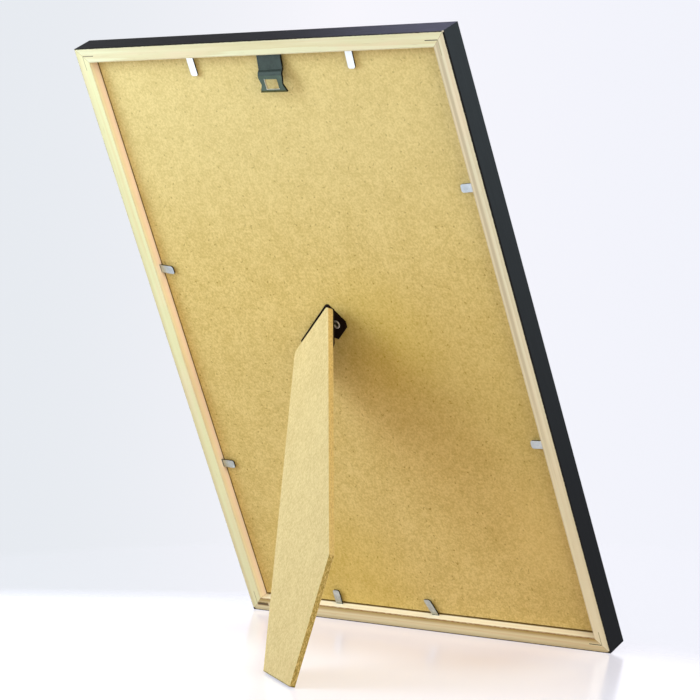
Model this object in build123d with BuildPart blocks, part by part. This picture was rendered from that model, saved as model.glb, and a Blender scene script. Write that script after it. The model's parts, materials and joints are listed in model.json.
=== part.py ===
"""Easel back photo frame, standing upright and leaning back on its leg.

Millimetres, +Z up, the picture faces -Y. The origin lies on the table under the middle of the whole object.
"""
import os
from math import cos, radians, sin, tan

from build123d import *

# Insert and rails
insert_w = 210.0
insert_h = 297.0
insert_play = 0.75
wall_w = 7.25
rail_depth = 12.0
lip_w = 5.5
lip_t = 3.0
outer_round = 0.4
inner_round = 0.6
front_round = 0.8

# Sheets in the rebate
pane_t = 1.2
print_air = 0.05
print_t = 0.15
board_t = 2.5

# Stance
lean = 23.2
leg_open = 50.3

# Corner nails
nail_t = 0.4
nail_leg = 7.2
nail_inset = 4.0
nail_deep = 6.0

# Bending tabs
tab_w = 4.1
tab_t = 0.7
tab_out = 8.6
tab_in = 5.0
tab_lift = 1.0
tab_clip = 0.7
tab_stub = 0.25
tab_play = 0.1

# Hanger
hanger_x = 6.4
hanger_w = 14.4
hanger_waist_w = 12.6
hanger_foot_w = 16.2
hanger_t = 1.0
hanger_lift = 0.9
hanger_rise = 3.0
hanger_slope = 1.3
hanger_out = 18.4
hanger_in = 5.0
hanger_bend = 1.2
hanger_hole_w = 7.6
hanger_hole_h = 4.9
hanger_hole_edge = 1.5

# Hinge
hinge_x = -13.8
hinge_above_mid = 7.8
hinge_tilt = 41.4
plate_w = 32.0
plate_up = 3.7
plate_down = 11.3
plate_clip = 2.1
ear_gap = 6.0
ear_h = 4.6
sheet_t = 0.6
knuckle_r = 0.9
knuckle_gap = 0.3
pin_r = 0.4
pin_play = 0.05
pin_head_t = 0.4
knuckle_mid = 14.0
knuckle_end = 5.0
heel_w = 10.0
heel_play = 0.02
leaf_down = 27.0
leaf_inset = 0.3
leaf_over = 0.35
leaf_start = 1.6
prong_w = 2.4
prong_t = 0.6
prong_h = 1.6
rivet_r = 1.4
rivet_head_r = 2.1
rivet_head_t = 0.5
rivet_head_round = 0.3
rivet_dish_r = 1.3
rivet_dish_h = 1.5
rivet_dish_taper = 18.0
rivet_x = 10.6
rivet_down = 6.3
rivet_play = 0.02

# Leg
leg_t = 2.5
leg_top_w = 41.2
leg_top_gap = 1.6
leg_top_skew = 0.8
leg_flare_long = 10.75
leg_flare_short = 1.6
tip_round = 4.0
shoulder_round = 2.2
foot_round = 0.8

# Derived sizes
open_w = insert_w + 2 * insert_play
open_h = insert_h + 2 * insert_play
outer_w = open_w + 2 * wall_w
outer_h = open_h + 2 * wall_w
print_z = lip_t + pane_t + print_air
board_z = print_z + print_t + board_t
axis_h = knuckle_r + knuckle_gap
axis_z = board_z + axis_h
pin_head_r = (pin_r + axis_h - sheet_t) / 2
lean_s = sin(radians(lean))
lean_c = cos(radians(lean))
tilt_s = sin(radians(hinge_tilt))
tilt_c = cos(radians(hinge_tilt))
swing_s = sin(radians(leg_open))
swing_c = cos(radians(leg_open))

# The rounded rear arris of the standing rail is what touches the table.
arris_drop = outer_round * (lean_c + lean_s - 1)
hinge_y = outer_h / 2 + hinge_above_mid


def leg_point(s, run, out):
    """Back-plane coordinates of a leg point: along the hinge, away from it, and off the hinge plane."""
    down = run * swing_c - out * swing_s
    return (
        hinge_x + s * tilt_c + down * tilt_s,
        hinge_y + s * tilt_s - down * tilt_c,
        axis_z + run * swing_s + out * swing_c,
    )


def stand_height(point):
    """Height of a back-plane point over the table when the frame stands on its bottom rail."""
    return point[1] * lean_c - (point[2] - rail_depth) * lean_s - arris_drop


def side_height(point):
    """The same height when the frame stands on the rail beside the leg instead."""
    return (outer_w / 2 - point[0]) * lean_c - (point[2] - rail_depth) * lean_s - arris_drop


def foot_line(height):
    """Line a + b*s + c*run = 0 where the leg's inner face meets the table."""
    a = height(leg_point(0, 0, knuckle_r))
    return a, height(leg_point(1, 0, knuckle_r)) - a, height(leg_point(0, 1, knuckle_r)) - a


def meet(one, two):
    """Crossing point of two lines a + b*s + c*run = 0."""
    det = one[1] * two[2] - two[1] * one[2]
    s = (one[2] * two[0] - two[2] * one[0]) / det
    run = (two[1] * one[0] - one[1] * two[0]) / det
    return s, run


long_tan = tan(radians(leg_flare_long))
short_tan = tan(radians(leg_flare_short))
long_side = (leg_top_w / 2 - long_tan * leg_top_gap, 1.0, long_tan)
short_side = (leg_top_w / 2 - short_tan * leg_top_gap, -1.0, short_tan)
upright_foot = foot_line(stand_height)
sideways_foot = foot_line(side_height)
leg_outline = [
    (leg_top_w / 2, leg_top_gap),
    (-leg_top_w / 2 + long_tan * leg_top_skew, leg_top_gap - leg_top_skew),
    meet(long_side, upright_foot),
    meet(upright_foot, sideways_foot),
    meet(sideways_foot, short_side),
]
leg_reach = max(
    point[1] * lean_s + point[2] * lean_c
    for s, run in leg_outline
    for point in (leg_point(s, run, knuckle_r), leg_point(s, run, knuckle_r + leg_t))
)

# Back view plane: x to the right seen from behind, y up the frame from its bottom edge, z from the front face.
back = Plane(
    origin=(0, -leg_reach / 2, rail_depth * lean_s - arris_drop),
    x_dir=(-1, 0, 0),
    z_dir=(0, lean_c, -lean_s),
)


def on_back(x, y, z=0.0, turn=0.0):
    """Plane parallel to the back at a back-view point, turned about its normal."""
    return Plane(back.location * Location((x, y, z), (0, 0, turn)))


def spot_on(plane, x, y, z):
    """Position of a point given in a plane's own coordinates."""
    return (plane.location * Location((x, y, z))).position


# Rail planes: origin at the middle of the outer edge, x along the rail, y into the frame.
rails = {
    "bottom_rail": (outer_w, on_back(0, 0, turn=0)),
    "left_rail": (outer_h, on_back(outer_w / 2, outer_h / 2, turn=90)),
    "top_rail": (outer_w, on_back(0, outer_h, turn=180)),
    "right_rail": (outer_h, on_back(-outer_w / 2, outer_h / 2, turn=270)),
}

# Tabs: rail, place along it from its middle as a share of the opening, skew of the blade,
# and how much further than the others it stands out of the wall.
tabs = {
    "tab_bottom_a": ("bottom_rail", -0.258, -1.0, -0.6),
    "tab_bottom_b": ("bottom_rail", 0.036, 19.0, 0.0),
    "tab_left_a": ("left_rail", -0.160, 2.0, 0.5),
    "tab_left_b": ("left_rail", 0.273, 4.0, 0.5),
    "tab_top_a": ("top_rail", -0.256, -3.5, 1.0),
    "tab_top_b": ("top_rail", 0.204, 1.0, 1.6),
    "tab_right_a": ("right_rail", -0.128, -5.8, 0.0),
    "tab_right_b": ("right_rail", 0.239, -2.3, -0.5),
}
tab_z = board_z + tab_lift


def tab_plane(tab):
    """Plane of a tab's underside: origin on the wall, x along the wall, y out over the board."""
    rail, share = tabs[tab][:2]
    length, plane = rails[rail]
    span = length - 2 * wall_w
    return Plane(plane.location * Location((share * span, wall_w, tab_z)))


os.makedirs("parts", exist_ok=True)


def save(piece, label):
    """Name a finished piece and write its file."""
    piece.part.label = label
    export_step(piece.part, f"parts/{label}.step")


def nail_arm(length, hand):
    """Corners of one nail arm at a rail's end, mitred where it meets the other arm."""
    end = hand * (length / 2 - nail_inset)
    near = nail_inset - nail_t / 2
    far = nail_inset + nail_t / 2
    return [
        (end + hand * nail_t / 2, near),
        (end - hand * nail_leg, near),
        (end - hand * nail_leg, far),
        (end - hand * nail_t / 2, far),
    ]


# Rails
full_w = wall_w + lip_w
for name, (length, plane) in rails.items():
    section = Plane(origin=plane.origin, x_dir=plane.y_dir, z_dir=plane.x_dir)
    with BuildPart() as rail:
        with BuildSketch(section):
            with BuildLine():
                Polyline(
                    (0, 0), (full_w, 0), (full_w, lip_t), (wall_w, lip_t), (wall_w, rail_depth), (0, rail_depth),
                    close=True,
                )
            make_face()
            corners = vertices()
            low = corners.group_by(Axis.Y)[0].sort_by(Axis.X)
            high = corners.group_by(Axis.Y)[-1].sort_by(Axis.X)
            fillet(low, radius=front_round)
            fillet(high[0], radius=outer_round)
            fillet(high[-1], radius=inner_round)
        extrude(amount=length / 2, both=True)
        with BuildSketch(plane):
            Polygon(
                (-length / 2, 0), (length / 2, 0),
                (length / 2 - full_w, full_w), (-length / 2 + full_w, full_w),
                align=None,
            )
        extrude(amount=rail_depth, mode=Mode.INTERSECT)
        with BuildSketch(plane.offset(rail_depth)):
            for hand in (-1, 1):
                Polygon(*nail_arm(length, hand), align=None)
        extrude(amount=-nail_deep, mode=Mode.SUBTRACT)
        for tab in tabs:
            if tabs[tab][0] == name:
                with BuildSketch(tab_plane(tab)):
                    Rectangle(tab_w, tab_in, align=(Align.CENTER, Align.MAX))
                extrude(amount=tab_t, mode=Mode.SUBTRACT)
        if name == "top_rail":
            with BuildSketch(on_back(hanger_x, outer_h - wall_w, board_z + hanger_lift)):
                Rectangle(hanger_w, hanger_in, align=(Align.CENTER, Align.MIN))
            extrude(amount=hanger_t, mode=Mode.SUBTRACT)
    save(rail, name)

# Corner nails
with BuildPart() as corner_nails:
    for length, plane in rails.values():
        with BuildSketch(plane.offset(rail_depth)):
            for hand in (-1, 1):
                Polygon(*nail_arm(length, hand), align=None)
        extrude(amount=-nail_deep)
save(corner_nails, "corner_nails")

# Sheets in the rebate, with a film of air between the pane and the print
with BuildPart() as glazing_pane:
    with BuildSketch(on_back(0, outer_h / 2, lip_t)):
        Rectangle(insert_w, insert_h)
    extrude(amount=pane_t)
save(glazing_pane, "glazing_pane")

with BuildPart() as print_sheet:
    with BuildSketch(on_back(0, outer_h / 2, print_z)):
        Rectangle(insert_w, insert_h)
    extrude(amount=print_t)
save(print_sheet, "print_sheet")

# Hinge planes: x along the hinge line, y up across it.
hinge_foot = on_back(hinge_x, hinge_y, board_z, turn=hinge_tilt)
hinge_axis = hinge_foot.offset(axis_h)
rivet_spots = [(-rivet_x, -rivet_down), (rivet_x, -rivet_down)]

with BuildPart() as backing_board:
    with BuildSketch(on_back(0, outer_h / 2, board_z)):
        Rectangle(insert_w, insert_h)
    extrude(amount=-board_t)
    with BuildSketch(hinge_foot):
        with Locations(*rivet_spots):
            Circle(rivet_r + rivet_play)
    extrude(amount=-board_t, mode=Mode.SUBTRACT)
    with BuildSketch(hinge_foot.offset(-board_t)):
        with Locations(*rivet_spots):
            Circle(rivet_head_r + rivet_play)
    extrude(amount=rivet_head_t, mode=Mode.SUBTRACT)
save(backing_board, "backing_board")

# Tabs
with BuildPart() as tab_shanks:
    for tab in tabs:
        with BuildSketch(tab_plane(tab)):
            Rectangle(tab_w, tab_in, align=(Align.CENTER, Align.MAX))
            Rectangle(tab_w, tab_stub, align=(Align.CENTER, Align.MIN))
        extrude(amount=tab_t)
save(tab_shanks, "tab_shanks")

tab_bend = tab_stub + tab_play + tab_t / 2
for tab in tabs:
    plane = tab_plane(tab)
    bend_line = Plane(
        origin=spot_on(plane, -tab_w / 2, tab_bend, tab_t / 2), x_dir=plane.y_dir, z_dir=plane.x_dir
    )
    skew, further = tabs[tab][2:]
    slant = tan(radians(skew))
    end = tab_out + further
    tip = end - tab_clip
    with BuildPart() as blade:
        with BuildSketch(plane):
            with BuildLine():
                Polyline(
                    (-tab_w / 2, tab_bend),
                    (tab_w / 2, tab_bend),
                    (tab_w / 2 - slant * tip, tip),
                    (tab_w / 2 - tab_clip - slant * end, end),
                    (-tab_w / 2 + tab_clip - slant * end, end),
                    (-tab_w / 2 - slant * tip, tip),
                    close=True,
                )
            make_face()
        extrude(amount=tab_t)
        with BuildSketch(bend_line):
            Circle(tab_t / 2)
        extrude(amount=tab_w)
    save(blade, tab)

# Hanger
hanger_wall = Plane(
    origin=on_back(hanger_x, outer_h - wall_w, board_z + hanger_lift).origin,
    x_dir=-back.y_dir, z_dir=back.x_dir,
)
step_at = 0.45 * hanger_out
step_h = hanger_rise - hanger_slope
with BuildPart() as hanger:
    with BuildSketch(hanger_wall):
        with BuildLine():
            FilletPolyline(
                (-hanger_in, 0), (hanger_bend, 0),
                (step_at, -hanger_slope),
                (step_at + 0.65 * step_h, -hanger_slope - 0.7 * step_h),
                (step_at + 1.25 * step_h, -hanger_rise),
                (hanger_out, -hanger_rise),
                radius=hanger_bend,
            )
            offset(amount=hanger_t, side=Side.RIGHT)
        make_face()
    extrude(amount=hanger_foot_w / 2, both=True)
    with BuildSketch(on_back(hanger_x, outer_h - wall_w, board_z)):
        with BuildLine():
            Polyline(
                (-hanger_w / 2, hanger_in), (hanger_w / 2, hanger_in),
                (hanger_w / 2, -0.62 * hanger_out), (hanger_waist_w / 2, -0.80 * hanger_out),
                (hanger_foot_w / 2, -hanger_out), (-hanger_foot_w / 2, -hanger_out),
                (-hanger_waist_w / 2, -0.80 * hanger_out), (-hanger_w / 2, -0.62 * hanger_out),
                close=True,
            )
        make_face()
    extrude(amount=rail_depth, mode=Mode.INTERSECT)
    with BuildSketch(on_back(hanger_x, outer_h - wall_w - hanger_out + hanger_hole_edge, board_z)):
        RectangleRounded(hanger_hole_w, hanger_hole_h, 0.6, align=(Align.CENTER, Align.MIN))
    extrude(amount=rail_depth, mode=Mode.SUBTRACT)
save(hanger, "hanger")

# Hinge plate on the board
knuckle_out = knuckle_mid / 2 + knuckle_gap
knuckle_line = Plane(origin=hinge_axis.origin, x_dir=hinge_axis.y_dir, z_dir=hinge_axis.x_dir)
window_h = 2 * (knuckle_r + knuckle_gap)
with BuildPart() as hinge_plate:
    with BuildSketch(hinge_foot):
        with BuildLine():
            Polyline(
                (-plate_w / 2 + plate_clip / 2, plate_up), (plate_w / 2 - plate_clip / 2, plate_up),
                (plate_w / 2, plate_up - plate_clip / 2), (plate_w / 2, -plate_down + plate_clip),
                (plate_w / 2 - plate_clip, -plate_down), (ear_gap / 2 + 0.6 * plate_clip, -plate_down),
                (ear_gap / 2, -plate_down + plate_clip), (ear_gap / 2, -plate_down + ear_h),
                (-ear_gap / 2, -plate_down + ear_h), (-ear_gap / 2, -plate_down + plate_clip),
                (-ear_gap / 2 - 0.6 * plate_clip, -plate_down), (-plate_w / 2 + plate_clip, -plate_down),
                (-plate_w / 2, -plate_down + plate_clip),
                (-plate_w / 2, plate_up - plate_clip / 2),
                close=True,
            )
        make_face()
        Rectangle(knuckle_mid + knuckle_gap, window_h, mode=Mode.SUBTRACT)
        with Locations(*rivet_spots):
            Circle(rivet_r + rivet_play, mode=Mode.SUBTRACT)
    extrude(amount=sheet_t)
    for hand in (-1, 1):
        with BuildSketch(knuckle_line.offset(hand * knuckle_out)):
            Circle(knuckle_r)
        extrude(amount=hand * knuckle_end)
    with BuildSketch(knuckle_line):
        Circle(pin_r + rivet_play)
    extrude(amount=plate_w / 2, both=True, mode=Mode.SUBTRACT)
save(hinge_plate, "hinge_plate")

with BuildPart() as hinge_rivets:
    with BuildSketch(hinge_foot.offset(-board_t)):
        with Locations(*rivet_spots):
            Circle(rivet_r)
    extrude(amount=board_t + sheet_t)
    with BuildSketch(hinge_foot.offset(sheet_t)):
        with Locations(*rivet_spots):
            Circle(rivet_head_r)
    extrude(amount=rivet_head_t)
    with BuildSketch(hinge_foot.offset(-board_t)):
        with Locations(*rivet_spots):
            Circle(rivet_head_r)
    extrude(amount=rivet_head_t)
    rims = edges().filter_by(GeomType.CIRCLE).group_by(Axis(hinge_foot.origin, hinge_foot.z_dir))[-1]
    fillet(rims, radius=rivet_head_round)
    with BuildSketch(hinge_foot.offset(sheet_t + rivet_head_t)):
        with Locations(*rivet_spots):
            Circle(rivet_dish_r)
    extrude(amount=-rivet_dish_h, taper=rivet_dish_taper, mode=Mode.SUBTRACT)
save(hinge_rivets, "hinge_rivets")

pin_half = knuckle_out + knuckle_end
with BuildPart() as hinge_pin:
    with BuildSketch(knuckle_line):
        Circle(pin_r)
    extrude(amount=pin_half, both=True)
    for hand in (-1, 1):
        with BuildSketch(knuckle_line.offset(hand * pin_half)):
            Circle(pin_head_r)
        extrude(amount=hand * pin_head_t)
save(hinge_pin, "hinge_pin")

# Leg plane: x along the hinge, y back towards it, z off the leg's outer face.
leg_axis = Plane(hinge_axis.location * Location((0, 0, 0), (-leg_open, 0, 0)))
leg_inner = leg_axis.offset(knuckle_r)
prong_x = 0.3 * leg_top_w
prong_spots = [(hand * prong_x, -run) for hand in (-1, 1) for run in (0.3 * leaf_down, 0.75 * leaf_down)]
heel_start = (pin_r + pin_play + knuckle_r) / 2


def prong_section(spot):
    """Plane of a prong's pointed outline, standing on the leg's inner face."""
    place = spot_on(leg_inner, spot[0], spot[1] + prong_t / 2, 0)
    return Plane(origin=place, x_dir=leg_inner.x_dir, z_dir=-leg_inner.y_dir)


def prong_outline():
    """Corners of a pointed prong in its own plane."""
    shoulder = 0.2 * prong_w
    return [
        (-prong_w / 2, 0), (prong_w / 2, 0),
        (shoulder, 0.6 * prong_h), (0, prong_h), (-shoulder, 0.6 * prong_h),
    ]


with BuildPart() as hinge_leaf:
    with BuildSketch(leg_inner):
        with BuildLine():
            left_top = -leg_top_w / 2 - long_tan * (leaf_start - leg_top_gap) + leaf_inset
            left_low = -leg_top_w / 2 - long_tan * (leaf_down - leg_top_gap) + leaf_inset
            right_top = leg_top_w / 2 + short_tan * (leaf_start - leg_top_gap) + leaf_over
            right_low = leg_top_w / 2 + short_tan * (leaf_down - leg_top_gap) + leaf_over
            Polyline(
                (left_top + plate_clip, -leaf_start), (right_top - plate_clip, -leaf_start),
                (right_top, -leaf_start - plate_clip), (right_low, -leaf_down + plate_clip),
                (right_low - plate_clip, -leaf_down), (left_low + plate_clip, -leaf_down),
                (left_low, -leaf_down + plate_clip), (left_top, -leaf_start - plate_clip),
                close=True,
            )
        make_face()
        Rectangle(knuckle_mid, leaf_start + plate_clip, align=(Align.CENTER, Align.MAX))
    extrude(amount=-sheet_t)
    with BuildSketch(knuckle_line):
        Circle(knuckle_r)
    extrude(amount=knuckle_mid / 2, both=True)
    with BuildSketch(hinge_axis.offset(sheet_t + heel_play - axis_h)):
        with Locations((0, heel_start)):
            Rectangle(heel_w, plate_up - 0.3 - heel_start, align=(Align.CENTER, Align.MIN))
    extrude(amount=sheet_t)
    with BuildSketch(knuckle_line):
        Circle(pin_r + pin_play)
    extrude(amount=knuckle_mid, both=True, mode=Mode.SUBTRACT)
    for spot in prong_spots:
        with BuildSketch(prong_section(spot)):
            Polygon(*prong_outline(), align=None)
        extrude(amount=prong_t)
save(hinge_leaf, "hinge_leaf")

# Leg
with BuildPart() as easel_leg:
    with BuildSketch(leg_inner):
        with BuildLine():
            Polyline(*[(s, -run) for s, run in leg_outline], close=True)
        make_face()
        tip = vertices().sort_by(Axis.Y)[3:].sort_by(Axis.X)[-1]
        fillet(tip, radius=tip_round)
        shoulder = vertices().sort_by(Axis.Y)[3:].sort_by(Axis.X)[0]
        fillet(shoulder, radius=shoulder_round)
        fillet(vertices().sort_by(Axis.Y)[:3], radius=foot_round)
    extrude(amount=leg_t)
    for spot in prong_spots:
        with BuildSketch(prong_section(spot)):
            Polygon(*prong_outline(), align=None)
        extrude(amount=prong_t, mode=Mode.SUBTRACT)
save(easel_leg, "easel_leg")
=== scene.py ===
"""Looks of the easel back photo frame: painted and raw pine, fibreboard, sheet steel, and a white studio."""
import json
import math

import bpy
from mathutils import Matrix, Quaternion, Vector


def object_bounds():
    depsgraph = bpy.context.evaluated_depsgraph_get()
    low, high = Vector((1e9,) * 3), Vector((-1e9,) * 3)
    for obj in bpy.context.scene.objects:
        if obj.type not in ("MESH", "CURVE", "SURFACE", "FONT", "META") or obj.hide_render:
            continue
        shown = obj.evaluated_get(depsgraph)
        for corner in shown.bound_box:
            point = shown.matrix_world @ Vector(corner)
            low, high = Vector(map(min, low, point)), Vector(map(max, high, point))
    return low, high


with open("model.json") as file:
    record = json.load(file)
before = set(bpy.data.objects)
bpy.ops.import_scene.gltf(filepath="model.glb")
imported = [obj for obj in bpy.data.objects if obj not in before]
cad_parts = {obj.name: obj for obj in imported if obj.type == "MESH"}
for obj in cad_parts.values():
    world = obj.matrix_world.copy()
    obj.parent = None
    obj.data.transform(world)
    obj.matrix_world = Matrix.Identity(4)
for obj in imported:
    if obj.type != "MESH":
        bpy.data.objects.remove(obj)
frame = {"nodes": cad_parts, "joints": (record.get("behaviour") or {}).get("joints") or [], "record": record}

cad_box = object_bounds()
nodes = frame["nodes"]
MM = 0.001

# Camera, at the place where the photograph was taken
CAMERA_AIM = Vector((-0.00375, -0.01501, 0.14254))
CAMERA_DISTANCE = 1.3448
CAMERA_AZIMUTH = 220.21
CAMERA_ELEVATION = 3.77
CAMERA_ROLL = -0.65
CAMERA_LENS = 145.28
CAMERA_SENSOR = 36.0

# Studio
BACKDROP_LEFT = (0.80, 0.83, 0.875)
BACKDROP_MID = (0.94, 0.93, 0.985)
BACKDROP_RIGHT = (0.89, 0.90, 0.97)
BACKDROP_TURN = 0.13
CEILING = (0.058, 0.053, 0.057)
CEILING_FROM = (0.30, 0.62)
FILL = (1.0, 0.86, 0.64)
FILL_STRENGTH = 0.20
FLOOR_WHITE = (0.60, 0.62, 0.80)
FLOOR_BOUNCE = (0.60, 0.48, 0.36)
FLOOR_GLOW = (0.44, 0.43, 0.47)
# Painted shade on the floor beside and under the frame: a weaker, warmer glow there
FLOOR_SHADE_GLOW = (0.32, 0.27, 0.285)
FLOOR_SHADE_FROM = (0.03, -0.03)
FLOOR_SHADE_TO = (-0.14, -0.09)
FLOOR_SHADE_WIDE = (0.13, 0.07)
FLOOR_ROUGH = 0.16
FLOOR_SIZE = 6.0
FLOOR_FADE = (0.20, 0.42)
FLOOR_BACKS = (((-0.121, -0.993, 0.0), 0.1008), ((0.52, -0.854, 0.0), 0.1605))
FLOOR_SOFT = 0.03
FLOOR_THIN = 0.92
LAMPS = {
    "key": {"way": (0.60, 0.75, 0.25), "distance": 0.40, "size": 0.30, "power": 1.44},
    "left": {"way": (0.88, 0.42, 0.20), "distance": 0.75, "size": 0.55, "power": 2.55},
    "front": {"way": (-0.25, 0.95, 0.20), "distance": 0.80, "size": 0.80, "power": 1.40},
    "side": {"way": (-0.80, 0.38, 0.34), "distance": 0.90, "size": 0.50, "power": 5.60},
    "top": {"way": (0.64, -0.47, 0.60), "distance": 0.45, "size": 0.12, "power": 0.125},
}
LAMP_TINTS = {
    "key": (0.80, 1.0, 1.0),
    "left": (0.95, 0.98, 1.03),
    "front": (1.0, 1.05, 0.84),
    "side": (1.05, 1.0, 0.82),
    "top": (0.82, 0.84, 1.30),
}
KEY_UP = 0.12
KEY_LEFT = 0.08
SIDE_DOWN = 0.08
TOP_PAST = 0.035

# Axes of the leaning frame: right and up as seen from behind, and out of the back
mounts = {mount["name"]: mount for mount in frame["record"]["mounts"]}
REAR = -Vector(mounts["front_face"]["axis"]).normalized()
RIGHT = Vector((-1, 0, 0))
UP = REAR.cross(RIGHT)
RAILS = ("bottom_rail", "left_rail", "top_rail", "right_rail")


def reach(axis, *names):
    """Lowest and highest reach of some nodes along an axis, in metres."""
    along = [vertex.co.dot(axis) for name in names for vertex in nodes[name].data.vertices]
    return min(along), max(along)


left_edge, right_edge = reach(RIGHT, *RAILS)
low_edge, high_edge = reach(UP, *RAILS)
front_face, rear_face = reach(REAR, *RAILS)
board_front, board_rear = reach(REAR, "backing_board")
middle = RIGHT * (left_edge + right_edge) / 2 + UP * (low_edge + high_edge) / 2 + REAR * front_face
outer_w = (right_edge - left_edge) / MM
outer_h = (high_edge - low_edge) / MM
rail_depth = (rear_face - front_face) / MM
behind_board = [
    vertex.co.dot(UP) - low_edge
    for vertex in nodes["bottom_rail"].data.vertices
    if vertex.co.dot(REAR) > board_rear
]
wall_w = max(behind_board) / MM
board_w = (board_rear - front_face) / MM


class Shader:
    """One material's node tree, built by short calls."""

    def __init__(self, name):
        self.material = bpy.data.materials.new(name)
        self.material.use_nodes = True
        self.tree = self.material.node_tree
        self.tree.nodes.clear()
        self.coordinates = self.node("TexCoord").outputs["Object"]

    def node(self, kind, inputs=None, **settings):
        made = self.tree.nodes.new("ShaderNode" + kind)
        for key, value in settings.items():
            setattr(made, key, value)
        for key, value in (inputs or {}).items():
            if isinstance(value, bpy.types.NodeSocket):
                self.tree.links.new(value, made.inputs[key])
            else:
                made.inputs[key].default_value = value
        return made

    def math(self, operation, *values, clamp=False):
        made = self.node("Math", dict(enumerate(values)), operation=operation, use_clamp=clamp)
        return made.outputs[0]

    def vector(self, operation, *values):
        made = self.node("VectorMath", dict(enumerate(values)), operation=operation)
        return made.outputs["Value" if operation in ("DOT_PRODUCT", "LENGTH", "DISTANCE") else "Vector"]

    def local(self, origin, x_axis, y_axis, z_axis):
        """Place on the surface in millimetres along three axes from an origin."""
        turn = Matrix((x_axis, y_axis, z_axis)).transposed().to_euler()
        made = self.node(
            "Mapping",
            {"Vector": self.coordinates, "Location": origin, "Rotation": turn, "Scale": (MM, MM, MM)},
            vector_type="TEXTURE",
        )
        return made.outputs[0]

    def split(self, vector):
        return self.node("SeparateXYZ", {0: vector}).outputs

    def stretch(self, vector, x, y, z):
        return self.vector("MULTIPLY", vector, (x, y, z))

    def noise(self, vector, scale, detail=2.0, roughness=0.5, stretch=None):
        if stretch:
            vector = self.stretch(vector, *stretch)
        return self.node(
            "TexNoise", {"Vector": vector, "Scale": scale, "Detail": detail, "Roughness": roughness}
        ).outputs[0]

    def step(self, value, low, high, at=0.0):
        """0 below low, 1 above high, smooth between; high under low turns it round. Both count from at."""
        made = self.node(
            "MapRange",
            {"Value": value, "From Min": at + low, "From Max": at + high},
            interpolation_type="SMOOTHSTEP",
        )
        return made.outputs[0]

    def rise(self, lift, shares):
        """Step over a height on the frame, between two shares of the frame's height from its middle."""
        return self.step(lift, shares[0] * outer_h, shares[1] * outer_h)

    def away(self, value, spot):
        """Distance of a value from a spot."""
        return self.math("ABSOLUTE", self.math("SUBTRACT", value, spot))

    def both(self, one, two):
        """Product of two masks."""
        return self.math("MULTIPLY", one, two)

    def facing(self, way):
        """How far the surface faces a way, from -1 to 1."""
        return self.vector("DOT_PRODUCT", self.node("TexCoord").outputs["Normal"], tuple(way))

    def blend(self, factor, one, two):
        made = self.node("Mix", {0: factor, 6: one, 7: two}, data_type="RGBA", clamp_factor=True)
        return made.outputs[2]

    def stain(self, base, stain, mask, strength):
        """A colour with a second colour blended into it where a mask is 1; used for stains and also for
        painted light and shade.
        """
        return self.blend(self.math("MULTIPLY", mask, strength), base, stain)

    def bump(self, height, depth):
        """Bumps whose height runs from 0 to 1 over a depth in millimetres."""
        return self.node("Bump", {"Height": height, "Distance": depth * MM, "Strength": 1.0}).outputs[0]

    def finish(self, **inputs):
        """Connect a surface shader with these sockets and return the material."""
        sockets = {key.replace("_", " "): value for key, value in inputs.items()}
        surface = self.node("BsdfPrincipled", sockets)
        self.node("OutputMaterial", {"Surface": surface.outputs[0]})
        return self.material


def colour(red, green, blue):
    return (red, green, blue, 1.0)


# Pine, raw and painted: sizes in millimetres, and tuples of four follow RAILS
PINE_PALE = (
    colour(0.81, 0.73, 0.555),
    colour(0.80, 0.745, 0.63),
    colour(0.81, 0.80, 0.62),
    colour(0.80, 0.80, 0.55),
)
PINE_TAN = (
    colour(0.73, 0.58, 0.40),
    colour(0.71, 0.615, 0.48),
    colour(0.73, 0.64, 0.435),
    colour(0.76, 0.65, 0.395),
)
PINE_PINK = colour(0.92, 0.72, 0.60)
PINE_OLIVE = colour(0.40, 0.34, 0.19)
PINE_PAINTED_LIGHT = colour(0.98, 0.93, 0.80)
# Painted shade in the gap between the wall and the board
PINE_GAP_SHADE = colour(0.20, 0.11, 0.008)
PINE_DARK = colour(0.30, 0.17, 0.07)
PINE_BROWN = colour(0.40, 0.26, 0.05)
PINE_GREY = colour(0.56, 0.475, 0.37)
GOUGE = colour(0.16, 0.09, 0.03)
PINE_RELIEF = 0.06
PINE_ROUGH = 0.72

# Grain: year rings crossed by fibres, pink patches and resin canals
GRAIN_SHIFT = (31.0, 11.47, 22.01)
RING_TURN = 0.5
RING_TURN_STEP = 0.4
RINGS_PER_MM = 0.42
RING_WAVER = 2.2
RING_BEND = {"stretch": (0.012, 0.5, 0.5), "scale": 0.5}
LATE_STARTS = (0.25, 0.8)
LATE_ENDS = (1.0, 0.9)
LATE_SHARE = 0.65
LATE_SUNK = 0.3
FIBRE = {"stretch": (0.06, 3.0, 3.0), "scale": 1.3, "detail": 4.0, "roughness": 0.6}
FIBRE_SHARE = 0.9
FIBRE_LEVEL = -0.40
PATCH = {"stretch": (0.03, 0.15, 0.15), "scale": 0.8}
PATCH_FROM = (0.45, 0.75)
PATCH_PINK = 0.35
CANAL = {"stretch": (0.10, 2.4, 2.4), "scale": 1.1, "detail": 1.0}
CANAL_FROM = (0.68, 0.78)
CANAL_DARK = 0.3

# Where the paint stops
RAGGED = {"stretch": (0.5, 2.0, 2.0), "scale": 1.2, "detail": 3.0}
PAINT_RAGGED = 0.35
PAINT_EDGES = (0.2, 0.2, 0.2, -0.1)
PAINT_SOFT = (-0.04, 0.04)
BACK_FROM = (-0.9, -0.7)
REBATE_FROM = (1.8, 1.95)
REBATE_WALL = (-0.4, -0.3)
FOOT_RAGGED = 0.8
FOOT_PAINTED = (0.9, 1.1)
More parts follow.
